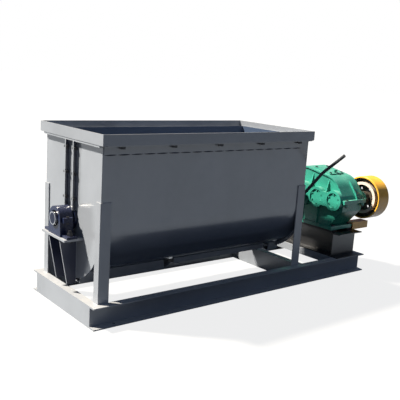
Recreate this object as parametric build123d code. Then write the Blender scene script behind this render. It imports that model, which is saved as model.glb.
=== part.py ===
from build123d import *
import math
import os

# Belt-driven ribbon mixer for dry fertilizer. Millimetres, +Z up, +X from the open bearing end
# towards the gear reducer. The origin lies on the floor, at the centre of the anchor holes.

# Base frame: rolled channels, flanges turned outwards on the long rails
rail_height = 126
rail_flange = 53
rail_web = 5.5
flange_root = 9.5
flange_toe = 7.0
rail_inset = 1
base_overhang_left = 53
base_overhang_right = 55
anchor_hole_r = 9
anchor_from_end = 140
anchor_from_edge = 25

# Trough: bent sheet, flat end plates, rim of angle section
sheet = 6
trough_length = 1556
trough_half_width = 328
trough_bottom = 217
trough_rise = 445
trough_in_rim = 23
end_plate_drop = 25
rim_height = 60
rim_thickness = 6
rim_overhang = 42
rim_overhang_left = 23
rim_overhang_right = 7
band_height = 50
band_thickness = 5
band_setback = 3
ledge_height = 12
rim_bolts_per_side = 5
rim_bolt_inset = 22
rim_bolt_pitch = 335
rim_bolt_r = 9

# Corner posts of angle section, outside the trough
post_leg_x = 67
post_leg_y = 50
post_thickness = 6
post_rise = 140

# Slot in each end plate, through which the shaft is lifted out, and its bolted cover
slot_half_width = 47
slot_lip = 23
lip_thickness = 5
lip_start = 45
slot_bolts_per_lip = 3
slot_bolt_low = 64
slot_bolt_high = 40
slot_bolt_r = 6
slot_bolt_tail = 8
cover_gap = 0.1

# Main shaft with its bearings on welded brackets
shaft_r = 40
journal_r = 37.5
shaft_hole_r = 52
shaft_end_proud = 4
seal_r = 74
seal_thickness = 16
seal_clearance = 0.3
bracket_reach = 113
bracket_half_width = 142
bracket_plate = 12
bracket_plate_inset = 7
bearing_centre_height = 95
gusset_half_gap = 66
gusset_thickness = 8
gusset_foot_reach = 55
gusset_below_plate = 20
pillow_near = 24
pillow_width = 80
pillow_r = 68
pillow_foot = 14
pillow_foot_inset = 8
pillow_foot_setback = 2
pillow_neck = 74
pillow_ear = 22
pillow_ear_height = 14
pillow_ear_inset = 12
pillow_bolt_y = 112
pillow_bolt_r = 10
pillow_bolt_tail = 16
cap_bolt_r = 5
bearing_outer_r = 56
bearing_race_r = 46
bearing_width = 34
bearing_bore_gap = 6
ring_gap = 0.3
ring_side_gap = 0.1
fit_gap = 0.05

# Ribbon agitator
ribbon_margin = 22
ribbon_clearance = 19
outer_ribbon_width = 48
inner_ribbon_r = 172
inner_ribbon_width = 38
ribbon_thickness = 8
ribbon_turns = 2
arms_per_turn = 4
arm_r = 13
weld_gap = 0.1

# Coupling between the agitator shaft and the reducer
hub_from_bracket = 57
hub_to_case = 69
coupling_flange_r = 88
coupling_flange = 20
coupling_hub_r = 62
coupling_hub = 46
coupling_gap = 2
coupling_bolt_circle = 72
coupling_bolt_count = 6
coupling_bolt_r = 6

# Gear train: two parallel stages, all axes at the shaft height
low_module = 5
low_pinion_teeth = 13
low_gear_teeth = 47
low_gear_width = 68
high_module = 4
high_pinion_teeth = 26
high_gear_teeth = 53
high_gear_width = 48
gear_side_gap = 8
gear_middle_gap = 10
tooth_share = 0.42
addendum_share = 0.9
dedendum_share = 1.2
root_step = 0.5
pressure_angle = 20
output_r = 35
counter_r = 22
input_r = 20

# Reducer housing, split at the shaft height
case_depth = 223
case_wall = 11
case_foot_thickness = 26
case_foot_reach_left = 12
case_foot_reach_right = 8
nose_overhang = 81
case_foot_setback = 10
case_foot_lug = 38
case_flare = 10
case_flare_drop = 75
case_split_flange = 13
case_split_reach = 24
case_lip = 8
dome_r = 200
shoulder_r = 168
shoulder_y = -188
nose_r = 72
boss_proud = 40
boss_proud_right = 6
boss_depth = 34
boss_web = 50
boss_recess = 18
boss_wall = 18
cap_thickness = 10
output_cap_r = 76
counter_cap_r = 56
input_cap_r = 54
output_bore_r = 60
counter_bore_r = 40
input_bore_r = 38
race_wall = 9
case_bearing_width = 24
snout_r = 48
snout_length = 56
case_bolt_r = 5
case_bolt_inset = 16
bolt_pad = 20
bolt_pad_r = 13
foot_bolt_r = 7
foot_bolt_inset_left = 36
foot_bolt_inset_right = 18
foot_bolt_edge = 16
rib_thickness = 9
rib_depth = 12
rib_below_lip = 22
nose_rib_depth = 14
nose_rib_share = 0.62
hatch_width = 150
hatch_length = 170
hatch_corner = 12
hatch_thickness = 8
breather_along = 60
breather_stem = 10
breather_stem_r = 9
breather_head = 14
breather_head_r = 15

# Reducer stand on the right end of the base
stand_flange = 70
stand_web = 8
stand_edge_left = 4
stand_edge_right = 33
flat_channel_setback = 6
packing_thickness = 16
packing_width = 56

# Belt pulley on the input shaft
pulley_gap = 6
pulley_width = 118
pulley_r = 157
pulley_rim = 12
pulley_chamfer = 2
pulley_ring_outer = 117
pulley_ring_inner = 96
pulley_ring_setback = 4
pulley_web = 16
pulley_hub_r = 46
pulley_hub_setback = 6
pulley_web_recess = 34
pulley_web_holes = 6
pulley_web_hole_r = 11
pulley_web_circle = 72

# Yellow bracket below the pulley
side_bracket_gap = 4
side_bracket_length = 176
side_bracket_width = 72
side_bracket_height = 52
side_bracket_wall = 5
side_bracket_inset = 2
side_bolt_r = 5
side_bolt_inset = 22

# Discharge gate below the trough, with its hand lever
gate_length = 770
gate_from_right = 139
gate_half_width = 125
mouth_lap = 20
mouth_inset = 15
gate_gap = 0.4
gate_sheet = 6
gate_lip_height = 26
hinge_offset = 55
hinge_angle = 22
strap_thickness = 10
strap_tip_offset = 27
strap_tip_inset = 20
strap_tip_r = 9
strap_r = 25
strap_shares = (0.06, 0.5, 0.94)
lug_thickness = 12
lug_angle = 34.5
lug_foot_r = 22
lug_r = 26
lug_shares = (0.12, 0.56, 0.88)
last_lug_inset = 40
gate_shaft_r = 15
gate_shaft_inset = 10
lever_from_bracket = 22
lever_r = 11
lever_hub_r = 27
lever_hub_half = 18
lever_bend_out = 36
lever_bend_rise = 223
lever_tip_out = 202
lever_tip_rise = 362
lever_bend_r = 160
keel_half_width = 110
keel_depth = 39
keel_sheet = 6
keel_gap = 12
keel_jog_run = 45
keel_jog_gap = 3
keel_end_slant = 15

# Proportions of hexagon bolts, and how far a cutting tool runs past what it cuts
bolt_flats = 3.2
bolt_head = 1.3
bolt_nut = 1.6
hole_gap = 0.5
overrun = 1

# Widths and heights that follow
shaft_height = trough_bottom + trough_half_width
rim_seat = shaft_height + trough_rise
trough_top = rim_seat + trough_in_rim
rim_top = rim_seat + rim_height
rim_half_width = trough_half_width + rim_overhang
rail_back_y = trough_half_width - rail_inset
base_width = 2 * (rail_back_y + rail_flange)
trough_inner = trough_half_width - sheet
foot_bottom = shaft_height - case_depth
stand_top = foot_bottom - packing_thickness
stand_height = stand_top - rail_height
bracket_top = shaft_height - bearing_centre_height
gusset_bottom = trough_bottom - end_plate_drop - gusset_below_plate
lip_bottom = shaft_height + lip_start
lip_top = rim_seat - ledge_height
outer_ribbon_r = trough_inner - ribbon_clearance
low_distance = low_module * (low_pinion_teeth + low_gear_teeth) / 2
high_distance = high_module * (high_pinion_teeth + high_gear_teeth) / 2
counter_y = -low_distance
input_y = counter_y - high_distance

# Places along the machine, from the left end plate to the right end of the base
bearing_side = trough_length + bracket_reach
coupling_side = hub_from_bracket + 2 * (coupling_hub + coupling_flange) + coupling_gap + hub_to_case
case_width = 2 * (boss_depth + gear_side_gap) + high_gear_width + gear_middle_gap + low_gear_width
stand_length = stand_edge_left + case_width + stand_edge_right
base_length = base_overhang_left + bearing_side + coupling_side - stand_edge_left + stand_length
base_length += base_overhang_right
half_length = base_length / 2
trough_left = base_overhang_left - half_length
trough_right = trough_left + trough_length
coupling_left = trough_right + bracket_reach + hub_from_bracket
coupling_centre = coupling_left + coupling_hub + coupling_flange + coupling_gap / 2
case_left = trough_left + bearing_side + coupling_side
case_right = case_left + case_width
stand_left = case_left - stand_edge_left
stand_right = case_right + stand_edge_right
X, Y, Z = Vector(1, 0, 0), Vector(0, 1, 0), Vector(0, 0, 1)
parts = {}


def block(x0, x1, y0, y1, z0, z1):
    centre = Pos((x0 + x1) / 2, (y0 + y1) / 2, (z0 + z1) / 2)
    return centre * Box(abs(x1 - x0), abs(y1 - y0), abs(z1 - z0))


def rod(start, direction, length, radius):
    plane = Plane(origin=start, z_dir=direction)
    return extrude(plane * Circle(radius), length)


def rod_x(x0, x1, y, radius, z=shaft_height):
    return rod((x0, y, z), X, x1 - x0, radius)


def ring_x(x0, x1, y, outer, inner, z=shaft_height):
    return rod_x(x0, x1, y, outer, z) - rod_x(x0 - overrun, x1 + overrun, y, inner, z)


def slab_x(sketch, x0, x1):
    """Extrude a sketch drawn as (Y, Z) from x0 to x1."""
    return extrude(Plane.YZ.offset((x0 + x1) / 2) * sketch, abs(x1 - x0) / 2, both=True)


def slab_y(sketch, middle, thickness):
    """Extrude a sketch drawn as (X, Z), half of the thickness to each side of middle."""
    plane = Plane(origin=(0, middle, 0), x_dir=X, z_dir=-Y)
    return extrude(plane * sketch, thickness / 2, both=True)


def outline(*points):
    return Polygon(*points, align=None)


def channel(corner, along, toward, length, height, flange, web):
    """Rolled channel. corner is on the back of the web, toward is where the flanges point."""
    points = [
        (0, 0),
        (flange, 0),
        (flange, flange_toe),
        (web, flange_root),
        (web, height - flange_root),
        (flange, height - flange_toe),
        (flange, height),
        (0, height),
    ]
    profile = Plane(origin=corner, x_dir=toward, z_dir=along) * outline(*points)
    return extrude(profile, length)


def hexagon(plane, across_flats, height):
    return extrude(plane * RegularPolygon(across_flats / 2, 6, major_radius=False), height)


def bolt(point, direction, radius, grip, tail=0):
    """Hex bolt and nut. point is under the head, direction runs from head to nut."""
    head = Plane(origin=point, z_dir=-Vector(*direction))
    nut = Plane(origin=Vector(*point) + Vector(*direction) * grip, z_dir=direction)
    shank = rod(point, direction, grip + radius * bolt_nut + tail, radius)
    shank += hexagon(head, radius * bolt_flats, radius * bolt_head)
    return shank + hexagon(nut, radius * bolt_flats, radius * bolt_nut)


def hole(point, direction, radius, depth):
    start = Vector(*point) - Vector(*direction) * overrun
    return rod(start, direction, depth + 2 * overrun, radius + hole_gap)


def flipped(shape):
    return mirror(shape, Plane.XZ)


# Base frame
rail = channel((half_length, -rail_back_y, 0), -X, -Y, base_length, rail_height, rail_flange, rail_web)
for side in (-1, 1):
    anchor = (side * (half_length - anchor_from_end), anchor_from_edge - base_width / 2, 0)
    rail -= hole(anchor, Z, anchor_hole_r - hole_gap, flange_root)
parts["rail_front"] = rail
parts["rail_back"] = flipped(rail)
inner_span = 2 * rail_back_y


def cross_channel(x, toward):
    start = -rail_back_y if toward.X < 0 else rail_back_y
    along = Y if toward.X < 0 else -Y
    return channel((x, start, 0), along, toward, inner_span, rail_height, rail_flange, rail_web)


parts["end_channel_left"] = cross_channel(-half_length, X)
parts["end_channel_right"] = cross_channel(half_length, -X)
parts["cross_channel_middle"] = cross_channel(trough_right, X)
flat_corner = (stand_left - flat_channel_setback + rail_height, -rail_back_y, rail_height)
parts["cross_channel_flat"] = channel(flat_corner, Y, -Z, inner_span, rail_height, rail_flange, rail_web)

# Reducer stand
stand_back_y = base_width / 2 - stand_flange
stand_corner = (stand_right, -stand_back_y, rail_height)
stand_front = channel(stand_corner, -X, -Y, stand_length, stand_height, stand_flange, stand_web)
parts["stand_channel_front"] = stand_front
parts["stand_channel_back"] = flipped(stand_front)


def stand_beam(web_back, along, toward):
    corner = (web_back, -along.Y * stand_back_y, rail_height)
    return channel(corner, along, toward, 2 * stand_back_y, stand_height, stand_flange, stand_web)


left_beam = stand_beam(stand_left + stand_flange, Y, -X)
right_beam = stand_beam(stand_right - stand_flange, -Y, X)

# Feet of the reducer on two packing bars, bolted through the stand
case_front = input_y - nose_r
foot_left = case_left - case_foot_reach_left
foot_right = case_right + case_foot_reach_right
foot_front = case_front + nose_overhang
foot_back = dome_r - case_foot_setback
foot_top = foot_bottom + case_foot_thickness
packing = Part()
foot_bolts = []
foot_drills = Part()
for x in (foot_left + foot_bolt_inset_left, foot_right - foot_bolt_inset_right):
    left = max(x - packing_width / 2, stand_left)
    right = min(x + packing_width / 2, foot_right)
    packing += block(left, right, foot_front, foot_back, stand_top, foot_bottom)
    for y in (foot_front + foot_bolt_edge, foot_back - foot_bolt_edge):
        grip = case_foot_thickness + packing_thickness + flange_root
        foot_drills += hole((x, y, foot_top), -Z, foot_bolt_r, grip)
        foot_bolts.append(bolt((x, y, foot_top), -Z, foot_bolt_r, grip))

# Yellow bracket: a short open box section, bolted on the stand
bracket_x0 = foot_right + side_bracket_gap
bracket_x1 = bracket_x0 + side_bracket_length
bracket_y0 = side_bracket_inset - stand_back_y
bracket_y1 = bracket_y0 + side_bracket_width
bracket_z1 = stand_top + side_bracket_height
wall = side_bracket_wall
box = block(bracket_x0, bracket_x1, bracket_y0, bracket_y1, stand_top, bracket_z1)
box -= block(
    bracket_x0 - overrun,
    bracket_x1 + overrun,
    bracket_y0 + wall,
    bracket_y1 - wall,
    stand_top + wall,
    bracket_z1 - wall,
)
bracket_bolts = []
bracket_drills = Part()
for y in (bracket_y0 + side_bolt_inset, bracket_y1 - side_bolt_inset):
    point = ((bracket_x0 + stand_right) / 2, y, stand_top + wall)
    bracket_drills += hole(point, -Z, side_bolt_r, wall + flange_root)
    bracket_bolts.append(bolt(point, -Z, side_bolt_r, wall + flange_root))
parts["side_bracket"] = box - bracket_drills
parts["stand_beam_left"] = left_beam - foot_drills
parts["stand_beam_right"] = right_beam - foot_drills - bracket_drills
parts["packing_bars"] = packing - foot_drills


# Corner posts
def post(x_face, x_sign):
    """Angle post. x_face is the outer face of the leg along Y, x_sign points to the trough."""
    y_face = -(trough_half_width + post_thickness)
    top = shaft_height + post_rise
    leg_x = block(x_face, x_face + x_sign * post_leg_x, y_face, y_face + post_thickness, rail_height, top)
    leg_y = block(x_face, x_face + x_sign * post_thickness, y_face, y_face + post_leg_y, rail_height, top)
    return leg_x + leg_y


post_left = post(trough_left - post_thickness, 1)
post_right = post(trough_right + post_thickness, -1)
parts["post_front_left"] = post_left
parts["post_back_left"] = flipped(post_left)
parts["post_front_right"] = post_right
parts["post_back_right"] = flipped(post_right)


# Trough
def u_shape(half_width, centre, top):
    straight = Pos(0, (centre + top) / 2) * Rectangle(2 * half_width, top - centre)
    below = Pos(0, centre - half_width / 2) * Rectangle(2 * half_width, half_width)
    return straight + (below & Pos(0, centre) * Circle(half_width))


shell_left = trough_left + sheet
shell_right = trough_right - sheet
gate_right = trough_right - gate_from_right
gate_left = gate_right - gate_length
mouth_half_width = gate_half_width - mouth_lap
shell_wall = u_shape(trough_half_width, shaft_height, trough_top)
shell_wall -= u_shape(trough_inner, shaft_height, trough_top + overrun)
mouth_cut = block(
    gate_left + mouth_inset,
    gate_right - mouth_inset,
    -mouth_half_width,
    mouth_half_width,
    0,
    shaft_height - trough_inner / 2,
)
parts["trough_shell"] = slab_x(shell_wall, shell_left, shell_right) - mouth_cut

slot_height = trough_top - shaft_height + overrun
slot_cut = Pos(0, shaft_height + slot_height / 2) * Rectangle(2 * slot_half_width, slot_height)
plate_outline = u_shape(trough_half_width, shaft_height - end_plate_drop, trough_top)
plate_outline -= slot_cut + Pos(0, shaft_height) * Circle(shaft_hole_r)


def end_plate(face, outward):
    """Flat end plate with the lips of its slot. face is the outer face, outward its side."""
    plate = slab_x(plate_outline, face, face - outward * sheet)
    for side in (-1, 1):
        y = side * slot_half_width
        plate += block(face, face + outward * slot_lip, y, y + side * lip_thickness, lip_bottom, lip_top)
    return plate


def slot_cover(face, outward):
    edge = slot_half_width - cover_gap
    hub_cut = rod_x(face - slot_lip, face + slot_lip, 0, shaft_hole_r)
    cover = block(face, face - outward * sheet, -edge, edge, shaft_height, trough_top)
    for side in (-1, 1):
        lip_in = side * (edge - lip_thickness)
        cover += block(face, face + outward * slot_lip, lip_in, side * edge, lip_bottom, lip_top)
    return cover - hub_cut


slot_bolts = []
slot_grip = 2 * lip_thickness + cover_gap
slot_bolt_span = lip_top - slot_bolt_high - lip_bottom - slot_bolt_low
for name, face, outward in (("left", trough_left, -1), ("right", trough_right, 1)):
    plate = end_plate(face, outward)
    cover = slot_cover(face, outward)
    for number in range(slot_bolts_per_lip):
        z = lip_bottom + slot_bolt_low + slot_bolt_span * number / (slot_bolts_per_lip - 1)
        for y in (-slot_half_width - lip_thickness, slot_half_width - lip_thickness - cover_gap):
            point = (face + outward * slot_lip * 0.6, y, z)
            drill = hole(point, Y, slot_bolt_r, slot_grip)
            plate -= drill
            cover -= drill
            slot_bolts.append(bolt(point, Y, slot_bolt_r, slot_grip, slot_bolt_tail))
    parts["end_plate_" + name] = plate
    parts["slot_cover_" + name] = cover
parts["slot_cover_bolts"] = Part() + slot_bolts

# Rim of welded angle, bolted to a band round the trough mouth
rim_left = trough_left - rim_overhang_left
rim_right = trough_right + rim_overhang_right
rim = block(rim_left, rim_right, -rim_half_width, rim_half_width, rim_seat, rim_top)
rim -= block(
    rim_left + rim_thickness,
    rim_right - rim_thickness,
    rim_thickness - rim_half_width,
    rim_half_width - rim_thickness,
    rim_seat + rim_thickness,
    rim_top + overrun,
)
rim -= block(trough_left, trough_right, -trough_half_width, trough_half_width, rim_seat - overrun, rim_top)
band_outer = trough_half_width + band_thickness
band = block(shell_left, shell_right, -band_outer, -trough_half_width, rim_seat - band_height, rim_seat)
band_edge = band_setback - rim_half_width
band += block(shell_left, shell_right, band_edge, -trough_half_width, rim_seat - band_thickness, rim_seat)
rim_bolts = []
rim_centre = (trough_left + trough_right) / 2
rim_grip = rim_thickness + band_thickness
for number in range(rim_bolts_per_side):
    x = rim_centre + (number - (rim_bolts_per_side - 1) / 2) * rim_bolt_pitch
    point = (x, rim_bolt_inset - rim_half_width, rim_seat + rim_thickness)
    drill = hole(point, -Z, rim_bolt_r, rim_grip)
    band -= drill
    rim -= drill + flipped(drill)
    one = bolt(point, -Z, rim_bolt_r, rim_grip)
    rim_bolts += [one, flipped(one)]
parts["rim_frame"] = rim
parts["rim_bands"] = band + flipped(band)
parts["rim_bolts"] = Part() + rim_bolts
ledges = Part()
for face, edge in ((trough_left, rim_left + band_setback), (trough_right, rim_right - band_setback)):
    ledges += block(face, edge, -trough_half_width, trough_half_width, lip_top, rim_seat)
parts["rim_ledges"] = ledges

# Shaft seals, cut away under the lips of the slot
seals = Part()
for face, outward in ((trough_left, -1), (trough_right, 1)):
    x0, x1 = sorted((face, face + outward * seal_thickness))
    seals += ring_x(x0, x1, 0, seal_r, shaft_r + seal_clearance)
under_lips = (lip_bottom - overrun, shaft_height + seal_r)
parts["shaft_seals"] = seals - block(rim_left, rim_right + slot_lip, -seal_r, seal_r, *under_lips)


# Bearing brackets and split plummer blocks
def bearing_bracket(face, outward):
    far = face + outward * bracket_reach
    under = bracket_top - bracket_plate
    plate = block(face, far, -bracket_half_width, bracket_half_width, under, bracket_top)
    gusset = outline(
        (face, under),
        (far - outward * bracket_plate_inset, under),
        (face + outward * gusset_foot_reach, gusset_bottom),
        (face, gusset_bottom),
    )
    for side in (-1, 1):
        plate += slab_y(gusset, side * gusset_half_gap, gusset_thickness)
    centre = face + outward * (pillow_near + pillow_width / 2)
    for side in (-1, 1):
        plate -= hole((centre, side * pillow_bolt_y, bracket_top), -Z, pillow_bolt_r, bracket_plate)
    return plate


def plummer_ears(x0, x1, z0, z1):
    reach = pillow_r + pillow_ear
    return block(x0 + pillow_ear_inset, x1 - pillow_ear_inset, -reach, reach, z0, z1)


def plummer_base(x0, x1):
    foot_half = bracket_half_width - pillow_foot_setback
    foot = block(
        x0 + pillow_foot_inset,
        x1 - pillow_foot_inset,
        -foot_half,
        foot_half,
        bracket_top,
        bracket_top + pillow_foot,
    )
    neck = outline(
        (-pillow_neck, bracket_top),
        (pillow_neck, bracket_top),
        (pillow_r, shaft_height),
        (-pillow_r, shaft_height),
    )
    return foot + slab_x(neck, x0, x1) + plummer_ears(x0, x1, shaft_height - pillow_ear_height, shaft_height)


def plummer_cap(x0, x1):
    above = block(x0, x1, -pillow_r, pillow_r, shaft_height, shaft_height + pillow_r)
    body = rod_x(x0, x1, 0, pillow_r) & above
    return body + plummer_ears(x0, x1, shaft_height, shaft_height + pillow_ear_height)


pillow_bolts = []
outer_rings = Part()
rotor_rings = Part()
bearing_places = {}
for name, face, outward in (("left", trough_left, -1), ("right", trough_right, 1)):
    x0, x1 = sorted((face + outward * pillow_near, face + outward * (pillow_near + pillow_width)))
    middle = (x0 + x1) / 2
    bearing_places[name] = middle
    bore = rod_x(x0 - overrun, x1 + overrun, 0, shaft_r + bearing_bore_gap)
    seat = rod_x(middle - bearing_width / 2, middle + bearing_width / 2, 0, bearing_outer_r + fit_gap)
    base = plummer_base(x0, x1) - bore - seat
    cap = plummer_cap(x0, x1) - bore - seat
    for side in (-1, 1):
        low_point = (middle, side * pillow_bolt_y, bracket_top - bracket_plate)
        foot_grip = pillow_foot + bracket_plate
        base -= hole(low_point, Z, pillow_bolt_r, foot_grip)
        pillow_bolts.append(bolt(low_point, Z, pillow_bolt_r, foot_grip, pillow_bolt_tail))
        high_point = (middle, side * (pillow_r + pillow_ear / 2), shaft_height + pillow_ear_height)
        drill = hole(high_point, -Z, cap_bolt_r, 2 * pillow_ear_height)
        base -= drill
        cap -= drill
        pillow_bolts.append(bolt(high_point, -Z, cap_bolt_r, 2 * pillow_ear_height))
    parts["plummer_base_" + name] = base
    parts["plummer_cap_" + name] = cap
    parts["bearing_bracket_" + name] = bearing_bracket(face, outward)
    ring_half = bearing_width / 2 - ring_side_gap
    ring_span = (middle - ring_half, middle + ring_half)
    outer_rings += ring_x(*ring_span, 0, bearing_outer_r, bearing_race_r + ring_gap)
    rotor_rings += ring_x(*ring_span, 0, bearing_race_r, journal_r + fit_gap)
parts["plummer_bolts"] = Part() + pillow_bolts

# Main shaft, stepped down at its journals
shaft_left = trough_left - bracket_reach - shaft_end_proud
shaft_end = coupling_centre - coupling_gap / 2
journal_left = bearing_places["left"] + bearing_width / 2
journal_right = bearing_places["right"] - bearing_width / 2
shaft = rod_x(journal_left, journal_right, 0, shaft_r)
shaft += rod_x(shaft_left, journal_left, 0, journal_r)
shaft += rod_x(journal_right, shaft_end, 0, journal_r)

# Agitator: an outer ribbon of one hand, an inner ribbon of the other, both on round arms
ribbon_start = shell_left + ribbon_margin
ribbon_length = shell_right - shell_left - 2 * ribbon_margin
ribbon_pitch = ribbon_length / ribbon_turns


def ribbon(radius, width, left_handed):
    middle = radius - width / 2
    path = Helix(ribbon_pitch, ribbon_length, middle, lefthand=left_handed)
    section = Plane(origin=path @ 0, x_dir=X, z_dir=path % 0) * Rectangle(width, ribbon_thickness)
    solid = sweep(section, path=path, is_frenet=True)
    return Pos(ribbon_start, 0, shaft_height) * Rot(0, 90, 0) * solid


arms = Part()
for number in range(ribbon_turns * arms_per_turn):
    share = (number + 0.5) / arms_per_turn
    x = ribbon_start + share * ribbon_pitch
    for sense, reach in ((-1, outer_ribbon_r - outer_ribbon_width), (1, inner_ribbon_r - inner_ribbon_width)):
        turn = sense * share * 2 * math.pi
        outward = Vector(0, math.sin(turn), -math.cos(turn))
        foot = Vector(x, 0, shaft_height) + outward * (shaft_r / 2)
        arms += rod(foot, outward, math.sqrt(reach**2 - arm_r**2) - weld_gap - shaft_r / 2, arm_r)
arms -= rod_x(ribbon_start, ribbon_start + ribbon_length, 0, shaft_r)
parts["main_shaft"] = shaft
parts["ribbon_arms"] = arms
parts["outer_ribbon"] = ribbon(outer_ribbon_r, outer_ribbon_width, True)
parts["inner_ribbon"] = ribbon(inner_ribbon_r, inner_ribbon_width, False)


# Coupling: two flanged hubs and their bolts
def coupling_hub_at(face, outward, bore):
    x0, x1 = sorted((face, face + outward * coupling_flange))
    hub0, hub1 = sorted((face, face + outward * (coupling_flange + coupling_hub)))
    hub = rod_x(x0, x1, 0, coupling_flange_r) + rod_x(hub0, hub1, 0, coupling_hub_r)
    return hub - rod_x(hub0 - overrun, hub1 + overrun, 0, bore + fit_gap)


hub_left = coupling_hub_at(coupling_centre - coupling_gap / 2, -1, journal_r)
hub_right = coupling_hub_at(coupling_centre + coupling_gap / 2, 1, output_r)
clamp_bolts = []
coupling_grip = 2 * coupling_flange + coupling_gap
for number in range(coupling_bolt_count):
    turn = 2 * math.pi * number / coupling_bolt_count
    y = coupling_bolt_circle * math.cos(turn)
    z = shaft_height + coupling_bolt_circle * math.sin(turn)
    point = (coupling_centre - coupling_grip / 2, y, z)
    drill = hole(point, X, coupling_bolt_r, coupling_grip)
    hub_left -= drill
    hub_right -= drill
    clamp_bolts.append(bolt(point, X, coupling_bolt_r, coupling_grip))
parts["coupling_hub_mixer"] = hub_left
parts["coupling_hub_reducer"] = hub_right
parts["coupling_bolts"] = Part() + clamp_bolts

# Reducer housing: a domed cover on a deep base, walls all round, bosses for the bearings
case_reach = 2 * (dome_r + nose_r - input_y)
dome = ((0, dome_r), (shoulder_y, shoulder_r), (input_y, nose_r))


def hull_of(circles):
    ends = Sketch()
    for y, radius in circles:
        ends += Pos(y, shaft_height) * Circle(radius)
    return make_hull(ends.edges())


def upper_dome(grow):
    """The cover's outline above the split, with every radius larger by grow."""
    above = Pos(0, shaft_height + case_reach / 2) * Rectangle(2 * case_reach, case_reach)
    return hull_of([(y, radius + grow) for y, radius in dome]) & above


def dome_height(y):
    return max(math.sqrt(max(0, radius**2 - (y - middle) ** 2)) for middle, radius in dome)


case_inner = (case_left + case_wall, case_right - case_wall)
base_outline = outline(
    (case_front, shaft_height),
    (case_front + case_flare, shaft_height - case_flare_drop),
    (foot_front + case_foot_lug, foot_top),
    (foot_front + case_foot_lug, foot_bottom),
    (foot_back - case_foot_lug, foot_bottom),
    (foot_back - case_foot_lug, foot_top),
    (dome_r - case_flare, shaft_height - case_flare_drop),
    (dome_r, shaft_height),
)
base_inside = offset(base_outline, -case_wall, kind=Kind.INTERSECTION)
base_inside += Pos((case_front + dome_r) / 2, shaft_height - case_wall) * Rectangle(
    dome_r - case_front - 2 * case_wall, 2 * case_wall
)
cover_inside = upper_dome(-case_wall)
cover = slab_x(upper_dome(0), case_left, case_right)
cover += slab_x(upper_dome(0) - upper_dome(-case_lip), case_left - case_lip, case_right + case_lip)
lower = slab_x(base_outline, case_left, case_right)
lower += block(foot_left, foot_right, foot_front, foot_back, foot_bottom, foot_top)
split_y = (case_front - case_split_reach, dome_r + case_split_reach)
split_x = (case_left - case_split_reach, case_right + boss_proud_right)
cover += block(*split_x, *split_y, shaft_height, shaft_height + case_split_flange)
lower += block(*split_x, *split_y, shaft_height - case_split_flange, shaft_height)

# Each shaft: its Y, the radius of its bearing bore and of its cap
shafts = (
    (0, output_bore_r, output_cap_r, output_r),
    (counter_y, counter_bore_r, counter_cap_r, counter_r),
    (input_y, input_bore_r, input_cap_r, input_r),
)
boss_left = case_left - boss_proud
boss_right = case_right + boss_proud_right
cap_left = boss_left + boss_recess - cap_thickness
cap_right = boss_right + cap_thickness
snout_end = cap_right + snout_length
shaft_start = boss_left + boss_recess + shaft_end_proud
shaft_stop = boss_right - shaft_end_proud
ring_spans = (
    (shaft_start, shaft_start + case_bearing_width),
    (shaft_stop - case_bearing_width, shaft_stop),
)
bosses = Part()
bores = Part()
case_rings = Part()
caps = Part()
for y, bore, cap_r, journal in shafts:
    bosses += rod_x(boss_left, case_left + boss_depth, y, cap_r + boss_wall)
    bosses += rod_x(case_right - boss_depth, boss_right, y, cap_r + boss_wall)
    bores += rod_x(boss_left - overrun, boss_right + overrun, y, bore + fit_gap)
    bores += rod_x(boss_left - overrun, boss_left + boss_recess, y, cap_r + fit_gap)
    for span in ring_spans:
        case_rings += ring_x(*span, y, bore, bore - race_wall + ring_gap)
    caps += rod_x(cap_left, boss_left + boss_recess, y, cap_r)
    caps += rod_x(boss_right, cap_right, y, cap_r)
web_z = (shaft_height - boss_web, shaft_height + boss_web)
bosses += block(boss_left, case_left + overrun, input_y, counter_y, *web_z)
caps += rod_x(cap_right, snout_end, input_y, snout_r)
caps -= rod_x(cap_left - overrun, shaft_start, 0, output_r + seal_clearance)
caps -= rod_x(boss_right - overrun, snout_end + overrun, input_y, input_r + seal_clearance)

# Tapered ribs above the valleys between the bosses, straight ribs under them, one rib round the nose
ribs_up = Part()
ribs_down = Part()
for y in (counter_y / 2, (counter_y + input_y) / 2):
    rib_top = shaft_height + dome_height(y) - rib_below_lip
    foot = shaft_height + case_split_flange
    ribs_up += slab_y(outline((case_left, foot), (boss_left, foot), (case_left, rib_top)), y, rib_thickness)
    edge = case_right + rib_depth
    ribs_up += slab_y(outline((case_right, foot), (edge, foot), (case_right, rib_top)), y, rib_thickness)
for y in (0, counter_y):
    for x0, x1 in ((case_left - rib_depth, case_left), (case_right, case_right + rib_depth)):
        ribs_down += block(x0, x1, y - rib_thickness / 2, y + rib_thickness / 2, foot_top, shaft_height)
boss_discs = Part()
for y, bore, cap_r, journal in shafts:
    boss_discs += rod_x(boss_left - overrun, cap_right, y, cap_r + boss_wall / 2)
nose_x = case_left + nose_rib_share * case_width
nose_rib = slab_x(upper_dome(nose_rib_depth), nose_x - rib_thickness / 2, nose_x + rib_thickness / 2)
nose_rib &= block(case_left, case_right, 2 * case_front, input_y, shaft_height, shaft_height + case_reach)
upper_half = block(boss_left, boss_right, 2 * case_front, 2 * dome_r, shaft_height, shaft_height + case_reach)
lower_half = block(boss_left, boss_right, 2 * case_front, 2 * dome_r, foot_bottom, shaft_height)
cover = cover + (bosses & upper_half) + (ribs_up - boss_discs) + nose_rib
lower = lower + (bosses & lower_half) + (ribs_down - boss_discs)


def hollow(inside):
    """The room inside the walls, less what the bosses fill of it."""
    between_bosses = slab_x(inside, case_left + boss_depth, case_right - boss_depth)
    return between_bosses + (slab_x(inside, *case_inner) - bosses)


cover = cover - hollow(cover_inside) - bores
lower = lower - (hollow(base_inside) & lower_half) - bores

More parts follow.
